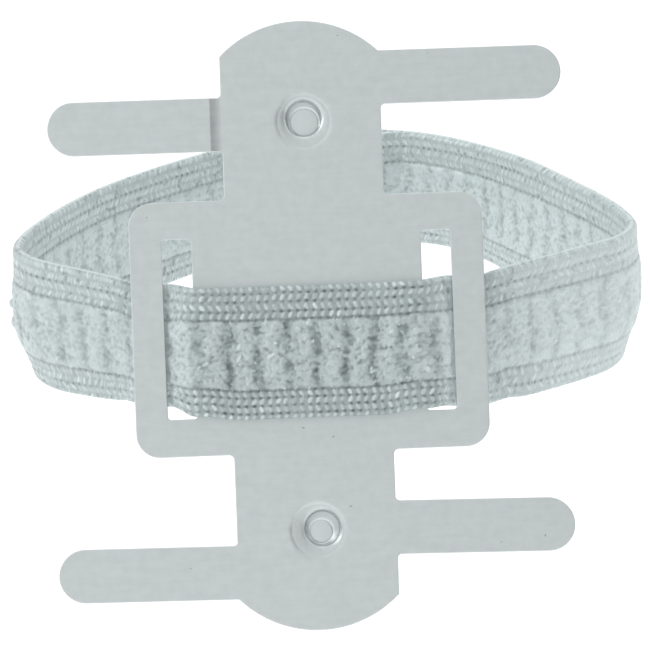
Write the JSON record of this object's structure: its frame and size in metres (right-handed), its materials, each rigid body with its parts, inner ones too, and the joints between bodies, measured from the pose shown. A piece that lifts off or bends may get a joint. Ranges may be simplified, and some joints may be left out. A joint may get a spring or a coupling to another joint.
{
  "type": "esd wrist strap",
  "caption": "Elastic conductive wrist strap threaded through a stamped steel buckle plate with press studs and bend-over tabs.",
  "frame": {"origin": "middle of the wrist opening, at the band's mid-height and in line with the buckle's centre", "axes": "+Z along the wrist, -Y out through the buckle, +X to the right of someone facing the buckle"},
  "size_m": [0.0777, 0.0751, 0.067],
  "materials": {
    "plate_steel": "satin, fine mottle",
    "stud_metal": "bright plated, lightly worn",
    "band_fabric": "woven silver-thread elastic with a soft looped middle",
    "seam_thread": "twisted polyester thread"
  },
  "bodies": {
    "band_back": {"band_back_left": "band_fabric", "band_back_right": "band_fabric", "band_side_left": "band_fabric", "band_side_right": "band_fabric", "lap_stitch_inner": "seam_thread", "lap_stitch_outer": "seam_thread"},
    "band_front": {"band_corner_left": "band_fabric", "band_corner_right": "band_fabric"},
    "buckle": {"buckle_plate": "plate_steel", "band_front_run": "band_fabric", "snap_stud_upper": "stud_metal", "snap_stud_lower": "stud_metal", "snap_ring_upper": "stud_metal", "snap_ring_lower": "stud_metal"},
    "tab_upper_left": {"tab_upper_left": "plate_steel"},
    "tab_upper_right": {"tab_upper_right": "plate_steel"},
    "tab_lower_left": {"tab_lower_left": "plate_steel"},
    "tab_lower_right": {"tab_lower_right": "plate_steel"}
  },
  "joints": [
    {"name": "band_stretch", "type": "slide", "parent": "band_back", "child": "band_front", "axis": [0, -1, 0], "range_m": [0, 0.025], "stiffness_N_per_m": 200, "deforming": ["band_side_left", "band_side_right"]},
    {"name": "buckle_rock", "type": "hinge", "parent": "band_front", "child": "buckle", "pos_m": [0, -0.031, 0], "axis": [1, 0, 0], "range_deg": [-9, 21]},
    {"name": "tab_upper_left_bend", "type": "hinge", "parent": "buckle", "child": "tab_upper_left", "pos_m": [-0.0097, -0.02125, 0.02539], "axis": [0, 0.3584, 0.9336], "range_deg": [-90, 90]},
    {"name": "tab_upper_right_bend", "type": "hinge", "parent": "buckle", "child": "tab_upper_right", "pos_m": [0.0097, -0.01959, 0.02973], "axis": [0, -0.3584, -0.9336], "range_deg": [-90, 90]},
    {"name": "tab_lower_left_bend", "type": "hinge", "parent": "buckle", "child": "tab_lower_left", "pos_m": [-0.0097, -0.04019, -0.02395], "axis": [0, 0.3584, 0.9336], "range_deg": [-90, 90]},
    {"name": "tab_lower_right_bend", "type": "hinge", "parent": "buckle", "child": "tab_lower_right", "pos_m": [0.0097, -0.03853, -0.01961], "axis": [0, -0.3584, -0.9336], "range_deg": [-90, 90]}
  ]
}
